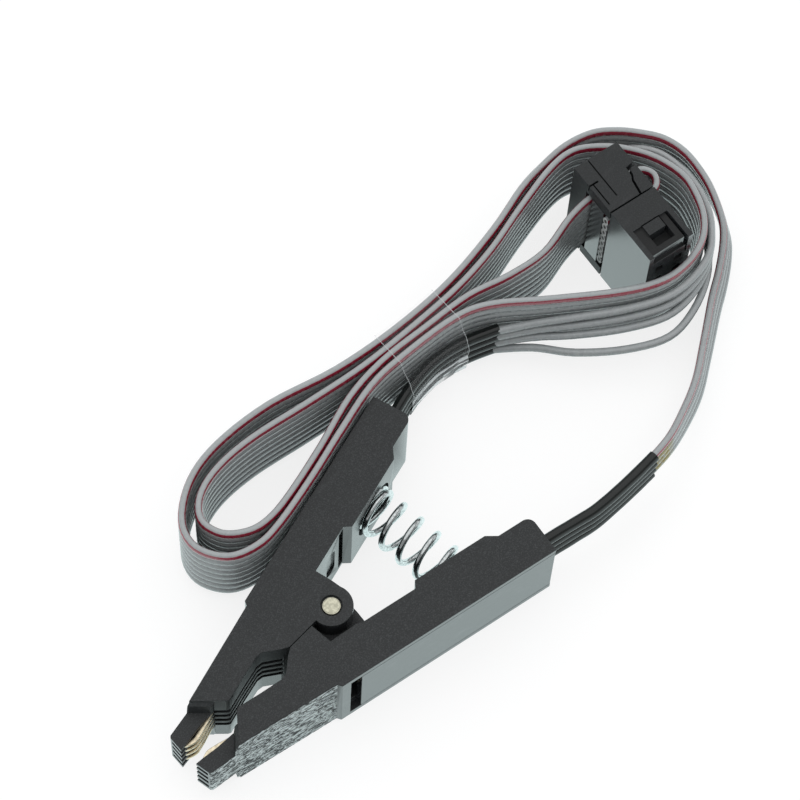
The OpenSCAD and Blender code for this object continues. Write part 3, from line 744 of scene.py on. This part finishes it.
def latch_lines():
    """Two thin boxes, one in each end of the socket, where the latch's block meets its frame."""
    mesh = bmesh.new()
    turn = Matrix.Translation(SOCKET_AT) @ Matrix.Rotation(SOCKET_TURN, 4, "Z")
    size = Matrix.Diagonal((2.4 * MM, 0.14 * MM, 0.8 * MM, 1))
    for z in (0, 2 * SOCKET_Z):
        place = Matrix.Translation((0, (MATING_FACE_V + LATCH_LENGTH) * MM, z))
        bmesh.ops.create_cube(mesh, size=1, matrix=turn @ place @ size)
    return mesh_data(mesh, "latch_lines")


def merged_copy(node, name, pick=None, tool=None):
    """A merged copy of a CAD node's mesh, less the tool. pick gives a face's material index."""
    mesh = bmesh.new()
    mesh.from_mesh(frame["nodes"][node].data)
    bmesh.ops.remove_doubles(mesh, verts=mesh.verts, dist=0.001 * MM)
    if tool:
        merged = bpy.data.meshes.new("merged")
        mesh.to_mesh(merged)
        mesh.clear()
        mesh.from_mesh(carved(merged, tool))
    bmesh.ops.dissolve_limit(
        mesh, angle_limit=math.radians(0.6), verts=mesh.verts, edges=mesh.edges, delimit={"NORMAL"}
    )
    for face in mesh.faces:
        face.material_index = pick(face) if pick else 0
    made = mesh_data(mesh, name)
    smooth(made, 30)
    return made


def moulding(node, name, finishes, body, slot, edge, segments=2, pick=None, tool=None):
    """A CAD node's copy as a piece on its body, whose sharp edges a Bevel modifier rounds."""
    mesh = merged_copy(node, name, pick, tool)
    piece = add_piece(name, mesh, finishes, body, [node], slot)
    bevel = piece.modifiers.new("Rounded edges", "BEVEL")
    bevel.width = edge
    bevel.segments = segments
    bevel.limit_method = "ANGLE"
    bevel.angle_limit = math.radians(32)
    bevel.harden_normals = True
    bevel.use_clamp_overlap = True


# ---- geometry node trees ----


def grown(name, tree, base, sizes):
    """The plain mesh that a geometry node tree makes from a base with these sizes."""
    source = bpy.data.objects.new(f"{name}_source", base)
    bpy.context.scene.collection.objects.link(source)
    modifier = source.modifiers.new("Shape", "NODES")
    modifier.node_group = tree
    for item in tree.interface.items_tree:
        if item.in_out == "INPUT" and item.name in sizes:
            modifier[item.identifier] = sizes[item.name]
    bpy.context.view_layer.update()
    shown = source.evaluated_get(bpy.context.evaluated_depsgraph_get())
    mesh = bpy.data.meshes.new_from_object(shown)
    mesh.name = name
    bpy.data.objects.remove(source)
    return mesh


def coil_tree():
    """A compression spring along Y: closed turns at both ends, open turns between."""
    tree, graph, given, put = node_tree("Geometry", "Compression spring", [
        ("Geometry", "Geometry", None),
        ("Radius", "Float", 2.5 * MM), ("Wire", "Float", 0.7 * MM), ("Length", "Float", 12.6 * MM),
        ("Open Turns", "Float", 4.25), ("Closed Turns", "Float", 1.5),
        ("Closed Pitch", "Float", 0.65 * MM), ("Points", "Int", 300),
        ("Centre", "Vector", None), ("Material", "Material", None),
    ], ["Geometry"])
    calc = graph.math
    closed, opened = given["Closed Turns"], given["Open Turns"]
    turns = calc("ADD", calc("MULTIPLY", closed, 2.0), opened)
    line = graph.shape("MeshLine", {"Count": given["Points"]})
    step = graph.add("GeometryNodeInputIndex").outputs[0]
    turned = calc("MULTIPLY", calc("DIVIDE", step, calc("SUBTRACT", given["Points"], 1.0)), turns)
    first = calc("MINIMUM", turned, closed)
    after = calc("SUBTRACT", turned, closed)
    middle = calc("MINIMUM", calc("MAXIMUM", after, 0.0), opened)
    last = calc("MAXIMUM", calc("SUBTRACT", after, opened), 0.0)
    ends = calc("MULTIPLY", calc("ADD", first, last), given["Closed Pitch"])
    closed_length = calc("MULTIPLY", calc("MULTIPLY", closed, 2.0), given["Closed Pitch"])
    open_pitch = calc("DIVIDE", calc("SUBTRACT", given["Length"], closed_length), opened)
    rise = calc("ADD", ends, calc("MULTIPLY", middle, open_pitch))
    angle = calc("MULTIPLY", turned, 2 * math.pi)
    place = graph.add("ShaderNodeCombineXYZ", {
        0: calc("MULTIPLY", calc("COSINE", angle), given["Radius"]),
        1: calc("SUBTRACT", rise, calc("DIVIDE", given["Length"], 2.0)),
        2: calc("MULTIPLY", calc("SINE", angle), calc("MULTIPLY", given["Radius"], -1.0)),
    }).outputs[0]
    centred = graph.add("ShaderNodeVectorMath", {0: place, 1: given["Centre"]}).outputs[0]
    bent = graph.shape("SetPosition", {"Geometry": line, "Position": centred})
    tube = graph.shape("CurveToMesh", {
        "Curve": graph.shape("MeshToCurve", {"Mesh": bent}),
        "Profile Curve": graph.shape("CurvePrimitiveCircle", {
            "Resolution": 14, "Radius": calc("DIVIDE", given["Wire"], 2.0),
        }),
        "Fill Caps": True,
    })
    whole = graph.shape("RealizeInstances", {"Geometry": tube})
    dressed = graph.shape("SetMaterial", {"Geometry": whole, "Material": given["Material"]})
    graph.feed(put[0], dressed)
    return tree


def stacked_strips_tree():
    """The same strip swept along a line in plan, repeated up a stack.

    The strip's section is a rounded oblong, Thickness across and Height up, and an uneven
    hand-made look moves its surface by up to Unevenness.
    """
    name = "Stacked strips"
    if name in bpy.data.node_groups:
        return bpy.data.node_groups[name]
    tree, graph, given, put = node_tree("Geometry", name, [
        ("Geometry", "Geometry", None),
        ("Thickness", "Float", 0.2 * MM), ("Height", "Float", 0.4 * MM),
        ("Corner", "Float", 0.05 * MM), ("Bend", "Float", 0.3 * MM), ("Count", "Int", 4),
        ("Pitch", "Float", LEAD_PITCH), ("Middle", "Float", MID_Z), ("Step", "Float", 0.3 * MM),
        ("Unevenness", "Float", 0.0), ("Material", "Material", None),
    ], ["Geometry"])

    def rounded(curve, radius, count):
        return graph.shape("FilletCurve", {
            "Curve": curve, "Radius": radius, "Limit Radius": True, "Count": count,
        }, mode="POLY")

    eased = rounded(graph.shape("MeshToCurve", {"Mesh": given["Geometry"]}), given["Bend"], 6)
    evened = graph.shape("ResampleCurve", {"Curve": eased, "Length": given["Step"]}, mode="LENGTH")
    oblong = graph.shape("CurvePrimitiveQuadrilateral", {
        "Width": given["Thickness"], "Height": given["Height"],
    })
    strip = graph.shape("CurveToMesh", {
        "Curve": graph.shape("SetCurveNormal", {"Curve": evened}, mode="Z_UP"),
        "Profile Curve": rounded(oblong, given["Corner"], 3),
        "Fill Caps": True,
    })
    spread = graph.math("MULTIPLY", graph.math("SUBTRACT", given["Count"], 1.0), given["Pitch"])
    lowest = graph.math("SUBTRACT", given["Middle"], graph.math("DIVIDE", spread, 2.0))
    levels = graph.shape("MeshLine", {
        "Count": given["Count"],
        "Start Location": graph.add("ShaderNodeCombineXYZ", {2: lowest}).outputs[0],
        "Offset": graph.add("ShaderNodeCombineXYZ", {2: given["Pitch"]}).outputs[0],
    })
    stack = graph.shape("InstanceOnPoints", {"Points": levels, "Instance": strip})
    whole = graph.shape("RealizeInstances", {"Geometry": stack})
    noise = graph.add("ShaderNodeTexNoise", {"Scale": 320.0, "Detail": 1.0}).outputs["Color"]
    centred = graph.add(
        "ShaderNodeVectorMath", {0: noise, 1: (0.5, 0.5, 0.5)}, operation="SUBTRACT"
    ).outputs[0]
    moved = graph.add(
        "ShaderNodeVectorMath", {0: centred, 3: given["Unevenness"]}, operation="SCALE"
    ).outputs[0]
    worked = graph.shape("SetPosition", {"Geometry": whole, "Offset": moved})
    dressed = graph.shape("SetMaterial", {"Geometry": worked, "Material": given["Material"]})
    graph.feed(put[0], dressed)
    return tree


def plan_line(name, points):
    """A line of edges through points in plan, in millimetres, as a base for a tree."""
    mesh = bpy.data.meshes.new(name)
    places = [Vector((x, y, 0)) * MM for x, y in points]
    mesh.from_pydata(places, [(i, i + 1) for i in range(len(places) - 1)], [])
    return mesh


# ---- the operators ----


class Build:
    """What the building operators share: each has a build that is given the scene."""

    bl_options = {"REGISTER", "UNDO"}

    def execute(self, context):
        self.build(context.scene)
        return {"FINISHED"}


class TESTCLIP_OT_stage(Build, bpy.types.Operator):
    """Makes the camera, the lamps, the even sky and the pale floor"""

    bl_idname = "testclip.stage"
    bl_label = "Stage"

    def build(self, scene):
        settings = scene.testclip_stage
        self.camera(scene)
        self.sky(scene, settings)
        self.lamps(scene, settings)
        self.floor(scene, settings)
        scene.view_settings.view_transform = "Standard"

    def camera(self, scene):
        ahead = CAMERA_HEADING.normalized()
        gaze = ahead * math.cos(CAMERA_DOWN) + Vector((0, 0, -math.sin(CAMERA_DOWN)))
        right = ahead.cross(Vector((0, 0, 1)))
        up = right.cross(gaze)
        rolled = right * math.cos(CAMERA_ROLL) + up * math.sin(CAMERA_ROLL)
        upright = up * math.cos(CAMERA_ROLL) - right * math.sin(CAMERA_ROLL)
        data = bpy.data.cameras.new("Camera")
        data.lens = CAMERA_LENS
        data.clip_start, data.clip_end = 0.01, 10
        camera = bpy.data.objects.new("Camera", data)
        turn = Matrix((rolled, upright, -gaze)).transposed()
        place = CAMERA_TARGET - gaze * CAMERA_DISTANCE
        camera.matrix_world = Matrix.Translation(place) @ turn.to_4x4()
        scene.collection.objects.link(camera)
        scene.camera = camera

    def sky(self, scene, settings):
        world = bpy.data.worlds.new("Sky")
        world.use_nodes = True
        graph = Graph(world.node_tree)
        seen = graph.add("ShaderNodeLightPath").outputs
        mirrored = graph.math("MAXIMUM", seen["Is Glossy Ray"], seen["Is Transmission Ray"])
        plain = graph.math("MAXIMUM", seen["Is Camera Ray"], mirrored)
        # in reflections the studio is white at the horizon and dimmer overhead
        direction = graph.add("ShaderNodeTexCoord").outputs["Generated"]
        rise = graph.add("ShaderNodeSeparateXYZ", {0: direction}).outputs[2]
        shown = graph.math("MULTIPLY", graph.remap(rise, 0.1, 0.5, 1, 0.3), plain)
        lit = graph.math("MULTIPLY", graph.math("SUBTRACT", 1.0, plain), settings.sky)
        strength = graph.math("ADD", shown, lit)
        light = graph.add("ShaderNodeBackground", {"Color": (0.97, 0.99, 1, 1), "Strength": strength})
        graph.add("ShaderNodeOutputWorld", {"Surface": light.outputs[0]})
        scene.world = world

    def lamps(self, scene, settings):
        data = bpy.data.lights.new("Overhead", "AREA")
        data.shape = "DISK"
        data.size = 1.0
        data.energy = settings.lamp
        lamp = bpy.data.objects.new("Overhead", data)
        lamp.location = (0.12, 0.1, 0.5)
        aim = Vector((0.02, 0.01, 0)) - lamp.location
        lamp.rotation_euler = aim.to_track_quat("-Z", "Y").to_euler()
        scene.collection.objects.link(lamp)

    def floor(self, scene, settings):
        finish = Finish("Pale floor")
        graph = finish.graph
        uneven = graph.noise(finish.place, 12.0)
        darker = rgba([c * 0.98 for c in settings.floor])
        tint = graph.mix(graph.math("MULTIPLY", uneven, 0.2), rgba(settings.floor), darker)
        seen = graph.add("ShaderNodeLightPath").outputs
        mirrored = graph.math("MAXIMUM", seen["Is Glossy Ray"], seen["Is Transmission Ray"])
        plain = graph.math("MAXIMUM", seen["Is Camera Ray"], mirrored)
        glow = rgba([settings.glow] * 3)
        finish.put(
            Base_Color=graph.mix(plain, tint, rgba(settings.seen)),
            Roughness=0.9,
            Specular_IOR_Level=0.0,
            Emission_Color=graph.mix(mirrored, glow, rgba(settings.mirrored)),
            Emission_Strength=plain,
        )
        mesh = bpy.data.meshes.new("floor")
        reach = 3.0
        corners = [(-reach, -reach, 0), (reach, -reach, 0), (reach, reach, 0), (-reach, reach, 0)]
        mesh.from_pydata(corners, [], [(0, 1, 2, 3)])
        mesh.materials.append(finish.material)
        floor = bpy.data.objects.new("floor", mesh)
        scene.collection.objects.link(floor)
        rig.stage(floor)


class TESTCLIP_OT_cable(Build, bpy.types.Operator):
    """Makes the eight wires, side by side in the ribbon and apart on their way to the arms"""

    bl_idname = "testclip.cable"
    bl_label = "Ribbon cable"

    def build(self, scene):
        look = scene.testclip_cable
        finishes = {
            "striped": wire_finish("Striped vinyl", look, striped=True, resin=False),
            "stained": wire_finish("Stained vinyl", look, striped=False, resin=True),
            "plain": wire_finish("Grey vinyl", look, striped=False, resin=False),
        }
        ends = [
            plastic_finish("Cut vinyl", look.cut, 0.5),
            plastic_finish("Cut strands", look.strands, 0.5),
        ]
        for k in range(8):
            self.wire(look, k, finishes, ends)

    def wire(self, look, k, finishes, ends):
        """One wire, from its sleeve to its cut end at the socket's side."""
        half, place = ("right", k) if k < 4 else ("left", k - 4)
        steps = 3 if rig.quick() else 5
        path = smooth_path(self.points(k, half, place), steps)[::-1]
        sections = []
        for i in range(len(path)):
            # the share of the way from a parted wire's height to a joined one's
            joined = i / (2 * steps)
            if half == "left":
                joined = (i / (len(LEFT_ROUTE) * steps) - 0.25) / 0.35
            height = look.parted + (LEAD_PITCH * 1.01 - look.parted) * min(1, max(0, joined))
            sections.append(oval(look.thickness, height))
        kind = "striped" if k == 0 else "stained" if half == "right" else "plain"
        name = f"wire_{k + 1}"
        mesh = swept(name, path, sections)
        stands_for = ["ribbon_cable", f"{half}_wires"]
        piece = add_piece(name, mesh, [finishes[kind], *ends], ROOT, stands_for, "ribbon_grey")
        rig.cord(
            piece, exit=path[0], length=path_length(path), diameter=LEAD_PITCH, far_end="connector",
            stiffness="limp", lay="coiled", path=path,
            with_pieces=[frame["nodes"]["socket_contacts"]],
        )

    def points(self, k, half, place):
        """The points of a wire's route, from the socket through the ribbon to its sleeve."""
        route, sleeve = ROUTES[half], SLEEVES[half]
        rise = (3.5 - k) * LEAD_PITCH / MM
        points = [Vector((x, y, z + rise)) for x, y, z in FOLD_ROUTE]
        points += [Vector((x, y, RIBBON_Z_MM + rise)) for x, y in RIBBON_XY]
        for i, (x, y, z, bow) in enumerate(route[1:]):
            pitch = LEAD_PITCH if i < len(route) - 2 else SLEEVE_PITCH
            level = Vector((x, y, z + STACK[place] * pitch / MM))
            points.append(level + SPREAD[half][place] * bow)
        # into the mouth of its sleeve
        inside = Vector((*sleeve[-2], points[-1].z))
        points[-1] = points[-1].lerp(inside, 0.45)
        return [p * MM for p in points]


class TESTCLIP_OT_sleeves(Build, bpy.types.Operator):
    """Makes the shrink sleeves over the wires where they enter the arms"""

    bl_idname = "testclip.sleeves"
    bl_label = "Shrink sleeves"

    def build(self, scene):
        look = scene.testclip_cable
        finish = plastic_finish("Shrink sleeve", look.sleeve, 0.2, 0.6 * MM, 0.3, specks=0.1)
        width = look.sleeve_width
        for side, line in SLEEVES.items():
            base = plan_line(side, smooth_path([Vector(point) for point in line], 5))
            mesh = grown(f"{side}_sleeves", stacked_strips_tree(), base, {
                "Thickness": width, "Height": width, "Corner": width * 0.46, "Bend": 0.0,
                "Pitch": SLEEVE_PITCH, "Step": 0.5 * MM, "Unevenness": 0.12 * MM, "Material": finish,
            })
            smooth(mesh, 60)
            stands_for = [f"{side}_sleeve_{i}" for i in range(1, 5)]
            body = ROOT if side == "left" else None
            piece = add_piece(f"{side}_sleeves", mesh, [], body, stands_for, "sleeve_black")
            if side == "right":
                # the sleeves bend between the moving arm and the wires, which lie still
                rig.blend(piece, CHILD, ROOT, start=(21.4 * MM, 0, 0), end=(36.4 * MM, 0, 0))


class TESTCLIP_OT_tape(Build, bpy.types.Operator):
    """Makes the clear tape that holds the loops of cable together"""

    bl_idname = "testclip.tape"
    bl_label = "Tape"

    def build(self, scene):
        look = scene.testclip_cable
        mesh = bmesh.new()
        layer = mesh.loops.layers.uv.new("From the edge")
        along = 36
        rings = []
        for i in range(along + 1):
            x = TAPE_FROM + (TAPE_TO - TAPE_FROM) * i / along
            rings.append([mesh.verts.new(place * MM) for place in self.section(x)])
        around = len(rings[0])
        near = 2 * around // 5
        width = (TAPE_TO - TAPE_FROM) * MM
        for i in range(along):
            for j in range(around):
                k = (j + 1) % around
                face = mesh.faces.new((rings[i][j], rings[i + 1][j], rings[i + 1][k], rings[i][k]))
                face.material_index = int(j < near)
                for loop, (u, v) in zip(face.loops, ((i, j), (i + 1, j), (i + 1, j + 1), (i, j + 1))):
                    loop[layer].uv = (min(u, along - u) / along * width, v / around)
        bmesh.ops.recalc_face_normals(mesh, faces=mesh.faces)
        made = mesh_data(mesh, "tape_band")
        made.shade_smooth()
        # the near side's film carries the painted glare streaks; both films carry the painted edge highlight
        films = [
            film_finish("Clear film", look.film, glare=0.0),
            film_finish("Film with painted glare", look.film, glare=1.0),
        ]
        add_piece("tape_band", made, films, ROOT, ["cable_tape"], "tape_clear")

    def section(self, x):
        """The band's outline at x, in millimetres: down the near side, under and back over."""
        near = at_x(NEAR_STRAND, x) - NEAR_OFF
        far = at_x(FAR_STRAND, x) + FAR_OFF
        sleeve = at_x(LEFT_SLEEVE, x) - SLEEVE_OFF
        top, bottom = RIBBON_Z_MM + ABOVE, RIBBON_Z_MM - BELOW
        near_side = [(near, top), (sleeve + 0.4, MID_Z_MM + 3.3), (sleeve, MID_Z_MM + 2.4),
                     (sleeve, MID_Z_MM - 2.4), (sleeve + 0.3, MID_Z_MM - 3.3), (near + 0.1, bottom)]
        corners = near_side + [(far, bottom), (far, top), (near, top)]
        outline = []
        for i, ((y0, z0), (y1, z1)) in enumerate(zip(corners, corners[1:])):
            steps = 6 if i < 5 else 15
            for j in range(steps):
                share = j / steps
                y, z = y0 + (y1 - y0) * share, z0 + (z1 - z0) * share
                # creases run along the sleeves, where the film is drawn in over them
                crease = 0.09 * math.sin(2.6 * z + 0.5 * math.sin(x)) if i < 5 else 0
                outline.append(Vector((x + 0.12 * (y - near), y + crease, z)))
        return outline


class TESTCLIP_OT_arms(Build, bpy.types.Operator):
    """Makes the two moulded arms, with rounded edges and coarse grain on their front sides"""

    bl_idname = "testclip.arms"
    bl_label = "Arms"

    def build(self, scene):
        look = scene.testclip_clip
        finishes = [
            plastic_finish("Arm plastic", look.plastic, 0.5, size=0.09 * MM),
            coarse_grain_finish("Coarse grain with painted highlights", look.plastic, look.grain, look.flake),
            satin_finish("Arm sides", look.cover),
        ]
        for side, (body, outward) in SIDES.items():
            # top, underside and jaw take 0, the front of the outer side 1 and other sides 2
            def pick(face, outward=outward):
                if abs(face.normal.z) > 0.6:
                    return 0
                centre = face.calc_center_median()
                if centre.x < GRAIN_BACK and face.normal.y * outward > 0.6:
                    return 1
                jaw = centre.x < 0 and face.normal.y * outward < 0 and centre.z > MID_Z - 3 * MM
                return 0 if jaw else 2

            moulding(f"{side}_arm", f"{side}_arm_moulding", finishes, body, "arm_plastic",
                     look.edge * 0.6, pick=pick)


class TESTCLIP_OT_covers(Build, bpy.types.Operator):
    """Makes the covers over the wire channels"""

    bl_idname = "testclip.covers"
    bl_label = "Covers"

    def build(self, scene):
        look = scene.testclip_clip
        satin = satin_finish("Cover plastic", look.cover)
        for side, (body, _) in SIDES.items():
            moulding(f"{side}_cover", f"{side}_cover_plate", [satin], body, "cover_plastic",
                     look.edge * 0.6)


class TESTCLIP_OT_pin(Build, bpy.types.Operator):
    """Plates the hinge pin"""

    bl_idname = "testclip.pin"
    bl_label = "Hinge pin"

    def build(self, scene):
        look = scene.testclip_clip
        nickel = metal_finish("Pin nickel", look.pin, 0.32, 0.4 * MM)
        moulding("hinge_pin", "hinge_pin_plated", [nickel], ROOT, "pin_nickel", look.edge, 3)


class TESTCLIP_OT_spring(Build, bpy.types.Operator):
    """Winds the spring between the handles"""

    bl_idname = "testclip.spring"
    bl_label = "Spring"

    def build(self, scene):
        look = scene.testclip_clip
        low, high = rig.box("spring")
        middle = (low + high) / 2
        wire = 0.7 * MM
        across = max(high.x - low.x, high.z - low.z)
        turns, closed = 4.25, 1.5
        mesh = grown("spring_coil", coil_tree(), plan_line("spring", [(0, 0), (1, 0)]), {
            "Radius": (across - wire) / 2, "Wire": wire, "Length": high.y - low.y - wire,
            "Open Turns": turns, "Closed Turns": closed, "Closed Pitch": wire * 1.05,
            "Points": int((turns + 2 * closed) * look.spring_steps) + 1,
            "Centre": middle, "Material": metal_finish("Spring zinc", look.zinc, 0.17, 0.3 * MM),
        })
        mesh.shade_smooth()
        piece = add_piece("spring_coil", mesh, [], None, ["spring"], "spring_zinc")
        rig.blend(piece, CHILD, ROOT, start=(middle.x, low.y, middle.z), end=(middle.x, high.y, middle.z))


class TESTCLIP_OT_contacts(Build, bpy.types.Operator):
    """Makes the gold contact strips in the slots of the jaws"""

    bl_idname = "testclip.contacts"
    bl_label = "Contacts"

    def build(self, scene):
        look = scene.testclip_clip
        gold = metal_finish("Contact gold", look.gold, 0.3, 0.4 * MM, relief=0.02)
        reach = -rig.box("left_arm")[0].x / MM
        line = [(-3.2, 5.6), (-6.2, 4.2), (-reach + 7.4, 2.62), (-reach + 5, 1.8),
                (-reach + 3.2, 1.25), (-reach + 1.95, 0.95), (-reach + 1, 1.25), (-reach + 0.5, 1.75)]
        for side, (body, outward) in SIDES.items():
            base = plan_line(side, [(x, y * outward) for x, y in line])
            mesh = grown(f"{side}_contacts", stacked_strips_tree(), base, {
                "Thickness": 0.5 * MM, "Height": 0.32 * MM, "Corner": 0.05 * MM, "Bend": 0.8 * MM,
                "Step": 0.2 * MM, "Material": gold,
            })
            smooth(mesh, 40)
            stands_for = [f"{side}_contact_{i}" for i in range(1, 5)]
            add_piece(f"{side}_contacts", mesh, [], body, stands_for, "contact_gold")


class TESTCLIP_OT_socket(Build, bpy.types.Operator):
    """Makes the socket's body, its cover and its strain relief, and plates its contacts"""

    bl_idname = "testclip.socket"
    bl_label = "Socket"

    def build(self, scene):
        look, clip = scene.testclip_cable, scene.testclip_clip
        # painted shade: up- and down-facing faces below the top take a plastic three times darker
        lower_faces_painted_shade = [c * 0.35 for c in clip.plastic]
        finishes = [
            plastic_finish("Socket plastic", clip.plastic, 0.55, 0.1 * MM, 0.2, specks=0.6),
            plastic_finish("Socket sides", look.socket, 0.25, 0.2 * MM, 0.12, specks=0.5, coat=0.8),
            plastic_finish("Lower plastic with painted shade", lower_faces_painted_shade, 0.6, 0.1 * MM, 0.2, specks=0.3),
        ]
        for node in ("socket_body", "socket_cover", "strain_relief"):
            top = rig.box(node)[1].z - 0.1 * MM

            # the top takes 0, sides 1, but the strain relief's 0, and what lies lower 2, a darker copy of the plastic
            # painted as shade
            def pick(face, node=node, top=top):
                if abs(face.normal.z) < 0.5:
                    return int(node != "strain_relief")
                return 2 if face.calc_center_median().z < top else 0

            tool = latch_lines() if node == "socket_body" else None
            moulding(node, f"{node}_moulding", finishes, ROOT, "socket_plastic",
                     clip.edge * 0.6, pick=pick, tool=tool)
        contacts = frame["nodes"]["socket_contacts"]
        contacts.data.materials.clear()
        contacts.data.materials.append(metal_finish("Socket contacts", clip.gold, 0.3, 0.4 * MM))


class TESTCLIP_PT_panel(bpy.types.Panel):
    """Lists the operators and their settings"""

    bl_idname = "TESTCLIP_PT_panel"
    bl_label = "Test clip"
    bl_space_type = "VIEW_3D"
    bl_region_type = "UI"
    bl_category = "Test clip"

    def draw(self, context):
        for settings in SETTINGS:
            box = self.layout.box()
            for name in SETTINGS[settings].__annotations__:
                box.prop(getattr(context.scene, settings), name)
        for operator in OPERATORS:
            self.layout.operator(operator.bl_idname)


SETTINGS = {
    "testclip_clip": ClipSettings,
    "testclip_cable": CableSettings,
    "testclip_stage": StageSettings,
}
OPERATORS = [
    TESTCLIP_OT_stage,
    TESTCLIP_OT_cable,
    TESTCLIP_OT_sleeves,
    TESTCLIP_OT_tape,
    TESTCLIP_OT_arms,
    TESTCLIP_OT_covers,
    TESTCLIP_OT_pin,
    TESTCLIP_OT_spring,
    TESTCLIP_OT_contacts,
    TESTCLIP_OT_socket,
]


def register():
    for made in [*SETTINGS.values(), *OPERATORS, TESTCLIP_PT_panel]:
        bpy.utils.register_class(made)
    for name, settings in SETTINGS.items():
        setattr(bpy.types.Scene, name, PointerProperty(type=settings))


def unregister():
    for name in SETTINGS:
        delattr(bpy.types.Scene, name)
    for made in [TESTCLIP_PT_panel, *OPERATORS[::-1], *list(SETTINGS.values())[::-1]]:
        bpy.utils.unregister_class(made)


def main():
    register()
    for operator in OPERATORS:
        getattr(bpy.ops.testclip, operator.bl_idname.split(".")[1])()
    visual_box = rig.bounds()
    with open("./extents.json", "w") as file:
        json.dump({
            "cad": [list(corner) for corner in cad_box],
            "visual": [list(corner) for corner in visual_box],
        }, file)


if __name__ == "__main__":
    main()
